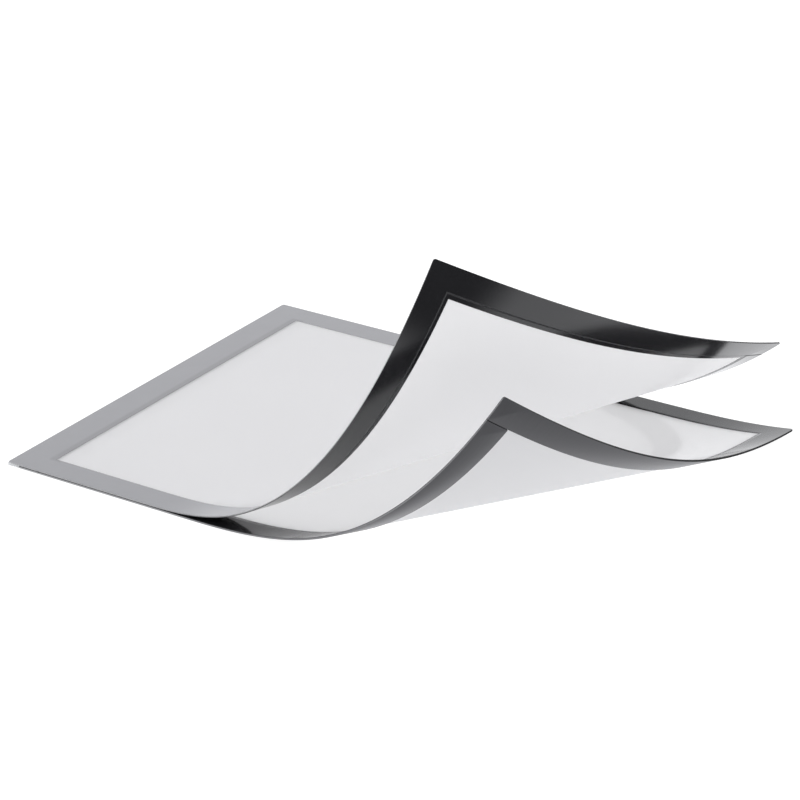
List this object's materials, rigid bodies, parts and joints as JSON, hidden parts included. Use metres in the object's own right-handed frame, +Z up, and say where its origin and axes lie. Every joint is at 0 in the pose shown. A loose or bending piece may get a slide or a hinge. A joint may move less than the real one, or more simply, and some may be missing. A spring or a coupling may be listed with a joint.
{
  "type": "magnetic display frame",
  "caption": "Thin bendable frame for an A4 page, peeled open: a silver-bordered frosted cover and a clear back on magnet strips, joined along one short edge.",
  "frame": {"origin": "middle of the underside of the back sheet's bound magnet strip, on the surface that the frame lies on", "axes": "+X from the bound edge to the free edge, +Y along the bound edge to the far side, +Z up"},
  "size_m": [0.3229, 0.2407, 0.147],
  "materials": {
    "silver_foil": "satin silver-grey print, fine grain",
    "frosted_film": "frosted, anti-glare",
    "gloss_black_film": "gloss black",
    "magnet_sheet": "matt dark grey, ferrite filled",
    "clear_film": "glossy, clear over the black strips and milky in the window",
    "clear_strip": "clear, slightly milky"
  },
  "bodies": {
    "back_sheet": {"rear_window_film": "clear_film", "rear_magnet_bound": "magnet_sheet", "rear_magnet_free": "magnet_sheet", "rear_magnet_near": "magnet_sheet", "rear_magnet_far": "magnet_sheet", "binding_strip": "clear_strip"},
    "cover": {"cover_border_foil": "silver_foil", "cover_window_film": "frosted_film", "cover_backing_film": "gloss_black_film", "cover_magnet_bound": "magnet_sheet", "cover_magnet_free": "magnet_sheet", "cover_magnet_near": "magnet_sheet", "cover_magnet_far": "magnet_sheet"}
  },
  "joints": [
    {"name": "cover_hinge", "type": "hinge", "parent": "back_sheet", "child": "cover", "pos_m": [-0.0136, 0, 0.0016], "axis": [0, -1, 0], "range_deg": [0, 148]}
  ]
}
